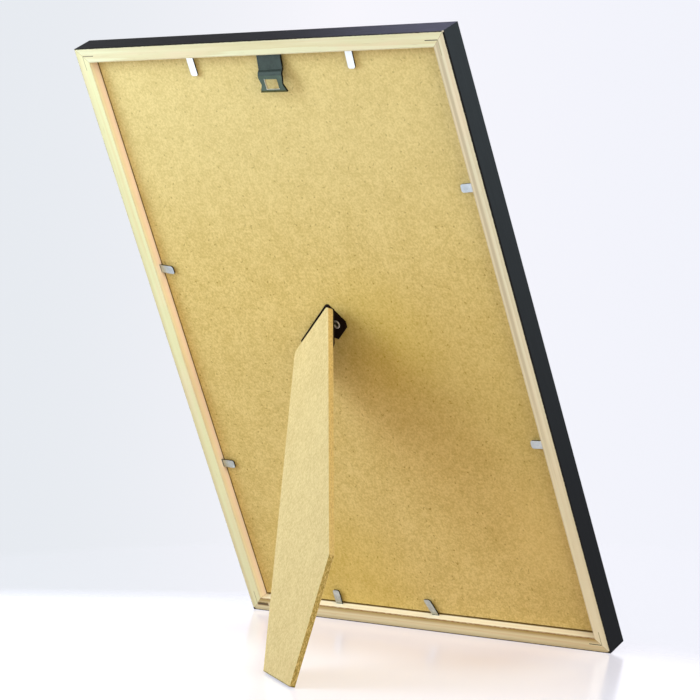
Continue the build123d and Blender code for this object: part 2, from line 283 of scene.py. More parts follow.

# Marks on the raw wood, and painted light and shade on the rails' backs, walls and gap
MITRE_LINE = (0.22, 0.05)
MITRE_DARK = 0.55
NAIL_INSET = 4.0
GOUGES = (0.9, 0.0, 0.0, 0.0)
GOUGE_RAGGED = 0.9
GOUGE_WIDE = (1.7, 1.1)
GOUGE_STARTS = (3.6, 4.2)
GOUGE_ENDS = (12.2, 11.0)
IN_WALL = (-0.3, -0.1)
WALL_PINK = (0.15, 0.40, 0.40, 0.75)
WALL_PINK_LEAST = 0.5
# Painted light: the lower part of each rail lightened toward cream, per rail
LOW_PAINTED_LIGHT = (0.40, 0.72, 0.0, 0.18)
LOW_PAINTED_LIGHT_LIFT = (0.1, -0.5)
OUTER_BAND = (3.4, 0.4)
# Painted shade toward the outer edge of the back, strongest on the bottom rail by the floor, partly an olive
# tint of the wood
OUTER_PAINTED_SHADE = (0.45, 0.15, 0.10, 0.15)
INNER_BAND = (-3.4, -0.4)
INNER_SHADE = (0.75, 0.0, 0.0, 0.0)
STREAKS = (0.0, 0.85, 0.0, 0.0)
STREAK_INSET = 5.0
STREAK_WIDE = (1.5, 0.3)
STREAK_LIFT = (-0.3, 0.1)
# Darker line along the inner arris of the back, per rail
ARRIS_DARK_LINE = (1.6, 0.5, 0.5, 0.3)
ARRIS_STARTS = (-0.6, -0.35)
ARRIS_ENDS = (0.1, 0.0)
ARRIS_DEEP = (-0.75, -0.5)
# Painted shade in the gap beside the board: how far above the board it reaches on each rail
GAP_SHADE_HEIGHT = (0.60, 0.10, 0.10, 0.15)
GAP_SOFT = 0.35
GAP_DARK = 0.9

# Satin paint, with a painted sheen that is lighter higher up and painted shade along the rear arris
PAINT_DARK = colour(0.003, 0.004, 0.006)
# Painted sheen: the lighter end of the paint, reached higher up on the frame
PAINT_PAINTED_SHEEN = (
    colour(0.026, 0.030, 0.038),
    colour(0.025, 0.033, 0.044),
    colour(0.011, 0.010, 0.012),
    colour(0.026, 0.030, 0.038),
)
# Painted shade on the rounded rear arris of the paint
PAINT_EDGE = colour(0.003, 0.002, 0.002)
PAINT_ROUGH = 0.30
PAINT_GRAIN = 0.3
PAINT_SPECULAR = 0.08
SHEEN = {"stretch": (0.08, 1.0, 1.0), "scale": 0.9, "detail": 4.0, "roughness": 0.6}
SHEEN_ROUGH = 0.16
PAINTED_SHEEN_LIFT = (-0.5, 0.6)
PAINTED_SHEEN_LEAST = 0.7
PAINTED_SHEEN_NOISE = 0.6
EDGE_DEEP = (-1.1, -0.8)
EDGE_WIDE = (0.9, 0.6)
CHIP = colour(0.55, 0.50, 0.44)
CHIP_RAGGED = 1.2
CHIP_REACH = (0.25, 0.1)


def raw_pine(shader, place, number):
    """Colour and height of raw pine whose grain runs along x."""
    moved = shader.vector("ADD", place, tuple(number * shift for shift in GRAIN_SHIFT))
    ring_turn = RING_TURN + RING_TURN_STEP * number
    across = (0.0, RINGS_PER_MM * math.cos(ring_turn), RINGS_PER_MM * math.sin(ring_turn))
    bend = shader.noise(moved, **RING_BEND)
    rings = shader.vector("DOT_PRODUCT", moved, across)
    rings = shader.math("FRACT", shader.math("MULTIPLY_ADD", bend, RING_WAVER, rings))
    late = shader.both(shader.step(rings, *LATE_STARTS), shader.step(rings, *LATE_ENDS))
    fibre = shader.noise(moved, **FIBRE)
    tone = shader.math("MULTIPLY_ADD", fibre, FIBRE_SHARE, FIBRE_LEVEL)
    tone = shader.math("MULTIPLY_ADD", late, LATE_SHARE, tone, clamp=True)
    wood = shader.blend(tone, PINE_PALE[number], PINE_TAN[number])
    patch = shader.step(shader.noise(moved, **PATCH), *PATCH_FROM)
    wood = shader.stain(wood, PINE_PINK, patch, PATCH_PINK)
    canal = shader.step(shader.noise(moved, **CANAL), *CANAL_FROM)
    wood = shader.stain(wood, PINE_DARK, canal, CANAL_DARK)
    height = shader.math("SUBTRACT", fibre, shader.math("MULTIPLY", late, LATE_SUNK))
    return wood, height


def bare_wood(shader, v, w, on_frame, ragged, number):
    """1 where there is no paint: behind the rear arris, except at the two feet, and inside the rebate."""
    brim = shader.math("MULTIPLY_ADD", ragged, -PAINT_RAGGED, v)
    back = shader.both(
        shader.step(brim, *PAINT_SOFT, at=PAINT_EDGES[number]),
        shader.step(w, *BACK_FROM, at=rail_depth),
    )
    for side in (-1, 1):
        foot = (side * outer_w / 2, -outer_h / 2, rail_depth)
        from_foot = shader.vector("DISTANCE", on_frame, foot)
        from_foot = shader.math("MULTIPLY_ADD", ragged, -FOOT_RAGGED, from_foot)
        back = shader.both(back, shader.step(from_foot, *FOOT_PAINTED))
    rebate = shader.both(shader.step(v, *REBATE_WALL, at=wall_w), shader.step(w, *REBATE_FROM))
    return shader.math("MAXIMUM", back, rebate)


def mitre_marks(shader, wood, u, v, ragged, length, number):
    """A hairline at the mitres, and a gouge along the corner nail at one end of a rail."""
    reached = shader.math("ADD", shader.math("ABSOLUTE", u), v)
    mitre = shader.step(shader.away(reached, length / 2), *MITRE_LINE)
    wood = shader.stain(wood, PINE_DARK, mitre, MITRE_DARK)
    from_nail = shader.math("MULTIPLY_ADD", ragged, GOUGE_RAGGED, shader.away(v, NAIL_INSET))
    along_nail = shader.both(
        shader.step(u, *GOUGE_STARTS, at=-length / 2),
        shader.step(u, *GOUGE_ENDS, at=-length / 2),
    )
    torn = shader.both(shader.step(from_nail, *GOUGE_WIDE), along_nail)
    return shader.stain(wood, GOUGE, torn, GOUGES[number])


def wall_marks(shader, wood, v, w, lift, ragged, number):
    """Pink rebate wall, painted light low down, painted shade toward the outer edge, a brown band and
    streaks on the back, a darker line on the inner arris, and painted shade in the gap beside the board.
    """
    in_wall = shader.step(v, *IN_WALL, at=wall_w)
    sunk = shader.math("ADD", shader.step(w, rail_depth, board_w), WALL_PINK_LEAST)
    wood = shader.stain(wood, PINE_PINK, shader.both(in_wall, sunk), WALL_PINK[number])
    # Painted light: lower down the rail is lightened toward cream, on the bottom rail only in its wall
    low = shader.rise(lift, LOW_PAINTED_LIGHT_LIFT)
    if number == 0:
        low = shader.both(low, in_wall)
    wood = shader.stain(wood, PINE_PAINTED_LIGHT, low, LOW_PAINTED_LIGHT[number])
    # Painted shade along the outer edge of the back, partly an olive tint
    wood = shader.stain(wood, PINE_OLIVE, shader.step(v, *OUTER_BAND), OUTER_PAINTED_SHADE[number])
    inner = shader.both(shader.step(v, *INNER_BAND, at=wall_w), shader.math("SUBTRACT", 1.0, in_wall))
    wood = shader.stain(wood, PINE_BROWN, inner, INNER_SHADE[number])
    streak = shader.step(shader.away(v, STREAK_INSET), *STREAK_WIDE)
    streak = shader.both(streak, shader.rise(lift, STREAK_LIFT))
    wood = shader.stain(wood, PINE_GREY, streak, STREAKS[number])
    arris = shader.both(shader.step(v, *ARRIS_STARTS, at=wall_w), shader.step(v, *ARRIS_ENDS, at=wall_w))
    arris = shader.both(arris, shader.both(shader.step(w, *ARRIS_DEEP, at=rail_depth), ragged))
    wood = shader.stain(wood, PINE_DARK, arris, ARRIS_DARK_LINE[number])
    # Painted shade: the wall darkened where it sinks into the gap beside the board
    in_gap = shader.step(w, 0.0, -GAP_SOFT, at=board_w + GAP_SHADE_HEIGHT[number])
    return shader.stain(wood, PINE_GAP_SHADE, in_gap, GAP_DARK)


def satin_paint(shader, v, w, on_frame, lift, ragged, sheen, number):
    """Black paint with a painted sheen that is lighter higher up, painted shade along the rear arris, and
    chipped at one corner.
    """
    # Painted sheen: the paint lightened higher up on the frame, varied by noise
    lighter_share = shader.math("MULTIPLY_ADD", sheen, PAINTED_SHEEN_NOISE, PAINTED_SHEEN_LEAST)
    lighter_share = shader.both(lighter_share, shader.rise(lift, PAINTED_SHEEN_LIFT))
    paint = shader.blend(lighter_share, PAINT_DARK, PAINT_PAINTED_SHEEN[number])
    # Painted shade: the rounded rear arris darkened
    edge = shader.both(shader.step(w, *EDGE_DEEP, at=rail_depth), shader.step(v, *EDGE_WIDE))
    paint = shader.blend(edge, paint, PAINT_EDGE)
    from_chip = shader.vector("DISTANCE", on_frame, (outer_w / 2, outer_h / 2, rail_depth))
    chipped = shader.step(shader.math("MULTIPLY_ADD", ragged, -CHIP_RAGGED, from_chip), *CHIP_REACH)
    return shader.blend(chipped, paint, CHIP)


def rail_material(name, number, origin, along, inward, length):
    """Pine rail: black outside and in front, raw on the back and in the rebate."""
    shader = Shader(name)
    place = shader.local(origin, along, inward, REAR)
    u, v, w = shader.split(place)
    on_frame = shader.local(middle, RIGHT, UP, REAR)
    lift = shader.split(on_frame)[1]
    ragged = shader.noise(place, **RAGGED)
    sheen = shader.noise(place, **SHEEN)
    wood, wood_height = raw_pine(shader, place, number)
    wood = mitre_marks(shader, wood, u, v, ragged, length, number)
    wood = wall_marks(shader, wood, v, w, lift, ragged, number)
    paint = satin_paint(shader, v, w, on_frame, lift, ragged, sheen, number)
    raw = bare_wood(shader, v, w, on_frame, ragged, number)
    roughness = shader.math("MULTIPLY_ADD", raw, PINE_ROUGH - PAINT_ROUGH, PAINT_ROUGH)
    open_grain = shader.math("MULTIPLY_ADD", raw, 1 - PAINT_GRAIN, PAINT_GRAIN)
    return shader.finish(
        Base_Color=shader.blend(raw, paint, wood),
        Roughness=shader.math("MULTIPLY_ADD", sheen, SHEEN_ROUGH, roughness),
        Specular_IOR_Level=PAINT_SPECULAR,
        Normal=shader.bump(shader.both(wood_height, open_grain), PINE_RELIEF),
    )


def dress(name, material):
    nodes[name].data.materials.clear()
    nodes[name].data.materials.append(material)


for number, rail in enumerate(RAILS):
    turn = math.radians(90 * number)
    along = RIGHT * math.cos(turn) + UP * math.sin(turn)
    inward = UP * math.cos(turn) - RIGHT * math.sin(turn)
    length, across = (outer_w, outer_h) if number % 2 == 0 else (outer_h, outer_w)
    edge = middle - inward * (across / 2 * MM)
    dress(rail, rail_material(rail + "_pine", number, edge, along, inward, length))

# Fibreboard: sizes in millimetres
BOARD_PALE = colour(0.75, 0.575, 0.245)
BOARD_TAN = colour(0.57, 0.41, 0.132)
BOARD_SPECKED = 1.0
# Painted light: the upper half of the board lightened
BOARD_PAINTED_LIGHT = colour(0.95, 0.90, 0.60)
UPPER_LIGHT_STRENGTH = 0.16
UPPER_LIGHT_LIFT = (20.0, 120.0)
BOARD_TAN_SHADE = colour(0.46, 0.29, 0.055)
BOARD_BROWN_SHADE = colour(0.60, 0.40, 0.0)
BOARD_LIT = colour(0.95, 0.72, 0.32)
# Painted shade: brown patches where the leg's shadow falls and at the lower left, partly a brown tint; the
# lit patch is painted light at the lower right
BOARD_PATCHES = (
    {"spot": (62.0, -14.0), "reach": (80.0, 10.0), "strength": 0.22, "stain": BOARD_TAN_SHADE},
    {"spot": (20.0, 3.0), "reach": (50.0, 8.0), "strength": 0.22, "stain": BOARD_BROWN_SHADE},
    {"spot": (-45.0, -140.0), "reach": (65.0, 10.0), "strength": 0.25, "stain": BOARD_BROWN_SHADE},
    {"spot": (98.0, -95.0), "reach": (46.0, 8.0), "strength": 0.25, "stain": BOARD_LIT},
)
LEG_PALE = colour(0.745, 0.592, 0.302)
LEG_TAN = colour(0.59, 0.442, 0.192)
LEG_SPECKED = 0.25
GRIT = {"scale": 0.85, "detail": 3.0, "roughness": 0.65}
GRIT_SHARE = 3.2
MOTTLES = (
    ({"scale": 0.30, "roughness": 0.55}, 1.3),
    ({"scale": 0.06, "roughness": 0.55}, 0.8),
)
FIBRE_DARK = colour(0.30, 0.165, 0.0)
SPECKS = (
    ({"spacing": 7.5, "size": 1.4, "width": 0.55, "share": 0.5}, 0.66),
    ({"spacing": 10.0, "size": 2.6, "width": 0.42, "share": 0.4}, 0.57),
    ({"spacing": 3.1, "size": 1.6, "width": 0.46, "share": 0.7}, 0.22),
)
CUT_PALE = colour(0.645, 0.47, 0.19)
CUT_DARK = colour(0.43, 0.277, 0.086)
# Painted shade on the cut edge past the leg's widest point and where the pieces stand on the table
CUT_SHADE = colour(0.17, 0.12, 0.0)
TORN = {"stretch": (1.0, 1.0, 2.5), "scale": 0.8, "detail": 4.0, "roughness": 0.7}
TORN_DARK = (0.35, 0.7)
LOWER_SHADE_FROM = (0.0, -1.0)
LOWER_SHADE_WHERE = (0.30, 0.60)
LOWER_SHADE_STRENGTH = 0.77
FACE_SKIN = (-0.02, -0.10)
FOOT_SHADE_HEIGHT = (0.9 * MM, 0.3 * MM)
FOOT_UNEVEN = 0.8 * MM
BOARD_ROUGH = 0.58
BOARD_ROUGH_GRIT = 0.25
BOARD_RELIEF = 0.03
CUT_RELIEF = 2.5


def specks(shader, place, spacing, size, width, share):
    """Scattered dark bits lying at all angles in the x-y plane."""
    cells = shader.node("TexVoronoi", {"Vector": place, "Scale": 1 / spacing}, voronoi_dimensions="2D")
    away = shader.vector("SUBTRACT", place, cells.outputs["Position"])
    turn_chance, kept_chance, curl_chance = shader.split(cells.outputs["Color"])
    turn = shader.math("MULTIPLY", turn_chance, 2 * math.pi)
    turned = shader.node("VectorRotate", {"Vector": away, "Angle": turn}, rotation_type="Z_AXIS").outputs[0]
    run, side, _ = shader.split(turned)
    curl = shader.both(shader.both(run, run), shader.math("SUBTRACT", curl_chance, 0.5))
    side = shader.math("ABSOLUTE", shader.math("ADD", side, curl))
    run = shader.math("ABSOLUTE", run)
    thin = shader.step(side, width, width * 0.3)
    short = shader.step(run, size * 0.5, size * 0.2)
    kept = shader.step(kept_chance, share, share * 0.4)
    return shader.both(shader.both(thin, short), kept)


def pressed_face(shader, place, grit, pale, tan, specked):
    """Mottled face, specked with dark fibres."""
    tone = shader.math("MULTIPLY_ADD", shader.math("SUBTRACT", grit, 0.5), GRIT_SHARE, 0.5, clamp=True)
    for texture, share in MOTTLES:
        mottle = shader.math("SUBTRACT", shader.noise(place, **texture), 0.5)
        tone = shader.math("MULTIPLY_ADD", mottle, share, tone, clamp=True)
    face = shader.blend(tone, pale, tan)
    for shape, strength in SPECKS:
        face = shader.stain(face, FIBRE_DARK, specks(shader, place, **shape), strength * specked)
    return face


def board_shade_and_light(shader, face, place, thickness):
    """Painted shade in brown patches where the leg's shadow falls and at the lower left, partly a brown tint
    of the board; painted light at the lower right and over the upper half.
    """
    # Painted shade and painted light, patch by patch
    for patch in BOARD_PATCHES:
        away = shader.vector("DISTANCE", place, (*patch["spot"], thickness))
        face = shader.stain(face, patch["stain"], shader.step(away, *patch["reach"]), patch["strength"])
    # Painted light over the upper half of the board
    upper_lit = shader.step(shader.split(place)[1], *UPPER_LIGHT_LIFT)
    return shader.stain(face, BOARD_PAINTED_LIGHT, upper_lit, UPPER_LIGHT_STRENGTH)


def fibreboard(name, origin, axes, thickness, pale, tan, specked, stains=None, shaded_below=None):
    """Pressed faces with rougher, browner cut edges, with painted shade on the edge past the widest point
    and where they stand on the table.
    """
    shader = Shader(name)
    place = shader.local(origin, *axes)
    _, height, depth = shader.split(place)
    grit = shader.noise(place, **GRIT)
    face = pressed_face(shader, place, grit, pale, tan, specked)
    if stains:
        face = stains(shader, face, place, thickness)
    torn = shader.noise(place, **TORN)
    cut = shader.blend(shader.step(torn, *TORN_DARK), CUT_PALE, CUT_DARK)
    # Painted shade on the cut edge past the widest point
    if shaded_below:
        lower_shade = shader.both(shader.step(height, *LOWER_SHADE_FROM, at=shaded_below), shader.step(torn, *LOWER_SHADE_WHERE))
        cut = shader.stain(cut, CUT_SHADE, lower_shade, LOWER_SHADE_STRENGTH)
    # Painted shade where the piece stands on the table
    standing = shader.split(shader.coordinates)[2]
    foot = shader.step(shader.math("MULTIPLY_ADD", torn, -FOOT_UNEVEN, standing), *FOOT_SHADE_HEIGHT)
    edge = shader.step(shader.away(depth, thickness / 2), *FACE_SKIN, at=thickness / 2)
    relief = shader.both(grit, shader.math("MULTIPLY_ADD", edge, CUT_RELIEF, 1.0))
    return shader.finish(
        Base_Color=shader.blend(foot, shader.blend(edge, face, cut), CUT_SHADE),
        Roughness=shader.math("MULTIPLY_ADD", grit, BOARD_ROUGH_GRIT, BOARD_ROUGH),
        Normal=shader.bump(relief, BOARD_RELIEF),
    )


board_t = (board_rear - board_front) / MM
board_origin = middle + REAR * (board_front - front_face)
dress("backing_board", fibreboard(
    "board_fibre", board_origin, (RIGHT, UP, REAR), board_t, BOARD_PALE, BOARD_TAN, BOARD_SPECKED,
    stains=board_shade_and_light,
))

# The leg's own axes come from its hinge line and its widest face, and its edge gets painted shade past the
# widest point
hinge = next(joint for joint in frame["joints"] if joint["name"] == "leg_hinge")
hinge_line = Vector(hinge["axis"]).normalized()
leg_mesh = nodes["easel_leg"].data
leg_out = max(leg_mesh.polygons, key=lambda polygon: polygon.area).normal.copy()
if leg_out.dot(REAR) < 0:
    leg_out.negate()
leg_run = leg_out.cross(hinge_line).normalized()
leg_low, leg_high = reach(leg_out, "easel_leg")
leg_t = (leg_high - leg_low) / MM
widest = max((vertex.co for vertex in leg_mesh.vertices), key=lambda point: point.dot(hinge_line))
dress("easel_leg", fibreboard(
    "leg_fibre", leg_out * leg_low, (hinge_line, leg_run, leg_out), leg_t, LEG_PALE, LEG_TAN, LEG_SPECKED,
    shaded_below=widest.dot(leg_run) / MM,
))

# Sheet steel: sizes in millimetres
STAIN_ROUGH = 0.2
STEEL_RELIEF = 0.02
ROLLED = {"scale": 2.0, "detail": 3.0, "roughness": 0.6}
STAINED = {"scale": 0.22, "detail": 3.0, "roughness": 0.6}
STEEL_TONE = (0.3, 0.7)
RUBBED = {"scale": 1.4, "detail": 3.0, "roughness": 0.6}
RUBBED_FROM = (0.66, 0.74)
RUBBED_STRENGTH = 0.6
SHEARED_FROM = (0.7, 0.4)


def sheet_metal(name, dark, light, metallic, rough, grain, wear=None, sheared=None, specular=0.5):
    """Rolled and stamped steel: faint rolling lines, stains, rubbed spots and dark sheared edges."""
    shader = Shader(name)
    place = shader.local(middle, RIGHT, UP, REAR)
    rolled = shader.noise(place, stretch=grain, **ROLLED)
    stain = shader.noise(place, **STAINED)
    tone = shader.math("MULTIPLY_ADD", rolled, 0.5, shader.math("MULTIPLY", stain, 0.5), clamp=True)
    base = shader.blend(shader.step(tone, *STEEL_TONE), dark, light)
    if wear:
        rubbed = shader.step(shader.noise(place, **RUBBED), *RUBBED_FROM)
        base = shader.stain(base, wear, rubbed, RUBBED_STRENGTH)
    if sheared:
        facing = shader.math("ABSOLUTE", shader.facing(REAR))
        base = shader.blend(shader.step(facing, *SHEARED_FROM), base, sheared)
    return shader.finish(
        Base_Color=base,
        Metallic=metallic,
        Specular_IOR_Level=specular,
        Roughness=shader.math("MULTIPLY_ADD", stain, STAIN_ROUGH, rough),
        Normal=shader.bump(rolled, STEEL_RELIEF),
    )


# Painted reflection and shade: the strap, step and tongue tones stand for how the bent strip reflects light
HANGER_STRAP = colour(0.030, 0.040, 0.036)
HANGER_STEP_SHADE = colour(0.015, 0.021, 0.019)
HANGER_TONGUE_REFLECTION = colour(0.082, 0.115, 0.090)
HANGER_FOOT = colour(0.070, 0.070, 0.018)
# Painted shade on the hanger's edges that face right
HANGER_EDGE_SHADE = colour(0.004, 0.005, 0.005)
# Bare punched steel, used as a painted highlight on the lit walls of the hole
BARE_STEEL_HIGHLIGHT = colour(0.62, 0.60, 0.52)
HANGER_METALLIC = 0.8
HANGER_ROUGH = 0.34
HANGER_ROLLED = {"stretch": (3.0, 0.3, 1.0), "scale": 2.0, "detail": 3.0, "roughness": 0.6}
HANGER_STAINED = {"scale": 0.35, "detail": 3.0, "roughness": 0.6}
HANGER_TONE = {"rolled": 0.7, "stained": 0.9, "least": 0.2}
STRAP_FROM = (6.0, 7.2)
TONGUE_FROM = (4.6, 3.6)
HANGER_FOOT_FROM = (-2.7, -3.5)
PUNCHED_W = (4.05, 3.90)
PUNCHED_H = (2.70, 2.55)
BARE_LEFT = (-3.4, -3.6)
BARE_LOW = (-2.0, -2.2)
HANGER_SHADE_FACING = (0.5, 0.8)
hole_spot = Vector(mounts["nail_hole"]["pos_m"]) - middle
hole_x = hole_spot.dot(RIGHT) / MM
hole_y = hole_spot.dot(UP) / MM


def hanger_material():
    """Blued strip with painted reflection and shade: darker strap, dark step and brighter tongue; bare steel
    as a painted highlight on the left and bottom walls of the punched hole; painted shade on the edges
    facing right.
    """
    shader = Shader("blued_sheet")
    place = shader.local(middle, RIGHT, UP, REAR)
    u, v, _ = shader.split(place)
    rolled = shader.noise(place, **HANGER_ROLLED)
    stain = shader.noise(place, **HANGER_STAINED)
    # Painted reflection and shade along the strip, by height
    base = shader.blend(shader.step(v, *STRAP_FROM, at=hole_y), HANGER_STEP_SHADE, HANGER_STRAP)
    base = shader.blend(shader.step(v, *TONGUE_FROM, at=hole_y), base, HANGER_TONGUE_REFLECTION)
    base = shader.blend(shader.step(v, *HANGER_FOOT_FROM, at=hole_y), base, HANGER_FOOT)
    tone = shader.math("MULTIPLY_ADD", stain, HANGER_TONE["stained"], HANGER_TONE["least"])
    tone = shader.math("MULTIPLY_ADD", rolled, HANGER_TONE["rolled"], tone)
    base = shader.vector("MULTIPLY", base, tone)
    punched = shader.both(
        shader.step(shader.away(u, hole_x), *PUNCHED_W),
        shader.step(shader.away(v, hole_y), *PUNCHED_H),
    )
    low_left = shader.math(
        "MAXIMUM",
        shader.step(u, *BARE_LEFT, at=hole_x),
        shader.step(v, *BARE_LOW, at=hole_y),
    )
    # Painted highlight: bare steel on the left and bottom walls of the punched hole only
    base = shader.blend(shader.both(punched, low_left), base, BARE_STEEL_HIGHLIGHT)
    # Painted shade: edges facing right darkened, except in the punched hole
    sheared = shader.step(shader.facing(RIGHT), *HANGER_SHADE_FACING)
    base = shader.blend(shader.both(sheared, shader.math("SUBTRACT", 1.0, punched)), base, HANGER_EDGE_SHADE)
    return shader.finish(
        Base_Color=base,
        Metallic=HANGER_METALLIC,
        Roughness=shader.math("MULTIPLY_ADD", stain, STAIN_ROUGH, HANGER_ROUGH),
        Normal=shader.bump(rolled, STEEL_RELIEF),
    )


# Painted shade: the nail strips darkened for the shade in their slits
NAIL_DARK = colour(0.035, 0.030, 0.025)
NAIL_PALE = colour(0.50, 0.44, 0.28)
NAIL_METALLIC = 0.2
NAIL_ROUGH = 0.5
NAIL_RELIEF = 0.03
SMEAR = {"scale": 1.2, "detail": 3.0, "roughness": 0.6}
SMEAR_SHARE = 0.6
SMEAR_LEAST = 0.7
UPRIGHT_ARM = (-NAIL_INSET - 0.35, -NAIL_INSET - 0.25)
UPRIGHT_PALE = 0.92
TOP_LEFT_PALE = 0.35
HALVES = (-1.0, 1.0)


def nail_material():
    """Steel strips sunk in the wood, dark as painted shade of their slits; their upright arms and the
    top-left corner are nearly wood-coloured.
    """
    shader = Shader("nail_steel")
    place = shader.local(middle, RIGHT, UP, REAR)
    u, v, _ = shader.split(place)
    smear = shader.noise(place, **SMEAR)
    upright = shader.step(shader.math("ABSOLUTE", u), *UPRIGHT_ARM, at=outer_w / 2)
    top_left = shader.both(shader.step(u, *reversed(HALVES)), shader.step(v, *HALVES))
    lighter_share = shader.math(
        "MAXIMUM",
        shader.math("MULTIPLY", upright, UPRIGHT_PALE),
        shader.math("MULTIPLY", top_left, TOP_LEFT_PALE),
    )
    lighter_share = shader.both(lighter_share, shader.math("MULTIPLY_ADD", smear, SMEAR_SHARE, SMEAR_LEAST))
    return shader.finish(
        Base_Color=shader.blend(lighter_share, NAIL_DARK, NAIL_PALE),
        Metallic=NAIL_METALLIC,
        Roughness=shader.math("MULTIPLY_ADD", smear, STAIN_ROUGH, NAIL_ROUGH),
        Normal=shader.bump(smear, NAIL_RELIEF),
    )


RIVET_STAINED = colour(0.42, 0.34, 0.27)
RIVET_BRIGHT = colour(0.74, 0.66, 0.58)
RIVET_DISH = colour(0.11, 0.10, 0.035)
RIVET_METALLIC = 0.9
RIVET_ROUGH = 0.32
RIVET_STAINS = {"scale": 0.5, "detail": 3.0, "roughness": 0.6}
RIVET_TONE = (0.35, 0.65)
DISH_REACH = (1.32, 1.12)
DISH_DARK = 0.85


def rivet_material():
    """Plated rivet heads, darker in the dish."""
    shader = Shader("rivet_plate")
    place = shader.local(middle, RIGHT, UP, REAR)
    stain = shader.noise(place, **RIVET_STAINS)
    rolled = shader.noise(place, **ROLLED)
    base = shader.blend(shader.step(stain, *RIVET_TONE), RIVET_STAINED, RIVET_BRIGHT)
    flat = shader.stretch(place, 1.0, 1.0, 0.0)
    points = [vertex.co - middle for vertex in nodes["hinge_rivets"].data.vertices]
    halfway = sum(point.dot(RIGHT) for point in points) / len(points)
    for hand in (-1, 1):
        head = [point for point in points if hand * (point.dot(RIGHT) - halfway) > 0]
        spot = sum(head, Vector()) / len(head) / MM
        away = shader.vector("DISTANCE", flat, (spot.dot(RIGHT), spot.dot(UP), 0.0))
        base = shader.stain(base, RIVET_DISH, shader.step(away, *DISH_REACH), DISH_DARK)
    return shader.finish(
        Base_Color=base,
        Metallic=RIVET_METALLIC,
        Roughness=shader.math("MULTIPLY_ADD", stain, STAIN_ROUGH, RIVET_ROUGH),
        Normal=shader.bump(rolled, STEEL_RELIEF),
    )


TAB_EDGE = colour(0.035, 0.030, 0.022)
TAB_GRAIN = (4.0, 0.4, 1.0)
BLACK_GRAIN = (1.0, 1.0, 1.0)
zinc = sheet_metal(
    "dull_zinc", colour(0.43, 0.47, 0.48), colour(0.66, 0.70, 0.72),
    metallic=1.0, rough=0.26, grain=TAB_GRAIN, sheared=TAB_EDGE,
)
# Painted shade, partly tarnish: a darker copy of the zinc for the bottom tabs and the lower right tab
tarnished_and_shaded_zinc = sheet_metal(
    "zinc_tarnish_and_painted_shade", colour(0.30, 0.31, 0.28), colour(0.58, 0.60, 0.55),
    metallic=1.0, rough=0.28, grain=TAB_GRAIN, sheared=TAB_EDGE,
)
# Painted reflection: a near-white copy of the zinc for the top tabs
lit_zinc = sheet_metal(
    "zinc_painted_reflection", colour(0.86, 0.88, 0.90), colour(0.96, 0.97, 0.98),
    metallic=1.0, rough=0.30, grain=TAB_GRAIN, sheared=TAB_EDGE,
)
black_sheet = sheet_metal(
    "black_sheet", colour(0.007, 0.003, 0.002), colour(0.014, 0.007, 0.005),
    metallic=0.0, rough=0.40, grain=BLACK_GRAIN, wear=colour(0.03, 0.028, 0.028), specular=0.05,
)
lower_right_tab = min(("tab_right_a", "tab_right_b"), key=lambda name: reach(UP, name))
for name in nodes:
    if name.startswith("tab_top"):
        dress(name, lit_zinc)
    elif name.startswith("tab_bottom") or name == lower_right_tab:
        dress(name, tarnished_and_shaded_zinc)
    elif name.startswith("tab_"):
        dress(name, zinc)
for name in ("hinge_plate", "hinge_leaf", "hinge_pin"):
    dress(name, black_sheet)
dress("hanger", hanger_material())
dress("hinge_rivets", rivet_material())
dress("corner_nails", nail_material())

# Pane and print
PANE_TINT = colour(0.985, 0.995, 0.99)
PANE_IOR = 1.49
PANE_ROUGH = 0.05
SMUDGE = {"scale": 0.03, "detail": 4.0, "roughness": 0.6}
SMUDGE_FROM = (0.5, 0.8)
PAPER_WHITE = colour(0.90, 0.89, 0.86)
PAPER_CREAM = colour(0.80, 0.79, 0.76)
PAPER_ROUGH = 0.6
PULP_ROUGH = 0.2
PAPER_RELIEF = 0.02
PULP = {"scale": 1.6, "detail": 5.0, "roughness": 0.7}
CLOUD = {"scale": 0.02}


def pane_material():
    """Clear pane with faint smudges."""
    shader = Shader("clear_pane")
    smudge = shader.noise(shader.local(middle, RIGHT, UP, REAR), **SMUDGE)
    return shader.finish(
        Base_Color=PANE_TINT,
        Roughness=shader.math("MULTIPLY", shader.step(smudge, *SMUDGE_FROM), PANE_ROUGH),
        Transmission_Weight=1.0,
        IOR=PANE_IOR,
    )


def paper_material():
    """Blank sheet of slightly cloudy paper."""
    shader = Shader("plain_paper")
    place = shader.local(middle, RIGHT, UP, REAR)
    pulp = shader.noise(place, **PULP)
    cloud = shader.noise(place, **CLOUD)
    tone = shader.math("MULTIPLY_ADD", pulp, 0.5, shader.math("MULTIPLY", cloud, 0.5))
    return shader.finish(
        Base_Color=shader.blend(tone, PAPER_WHITE, PAPER_CREAM),
        Roughness=shader.math("MULTIPLY_ADD", pulp, PULP_ROUGH, PAPER_ROUGH),
        Normal=shader.bump(pulp, PAPER_RELIEF),
    )


dress("glazing_pane", pane_material())
dress("print_sheet", paper_material())


# Studio: white floor that fades into the backdrop, a soft key from the left, and light along the top
def seen_directly(tree):
    """1 for the rays that show the backdrop: straight, mirrored or through glass."""
    path = tree.nodes.new("ShaderNodeLightPath")
    shown = path.outputs["Is Camera Ray"]
    for ray in ("Is Glossy Ray", "Is Transmission Ray"):
        either = tree.nodes.new("ShaderNodeMath")
        either.operation = "MAXIMUM"
        tree.links.new(shown, either.inputs[0])
        tree.links.new(path.outputs[ray], either.inputs[1])
        shown = either.outputs[0]
    return shown


def camera_right():
    around = math.radians(CAMERA_AZIMUTH)
    return math.cos(around), math.sin(around), 0.0


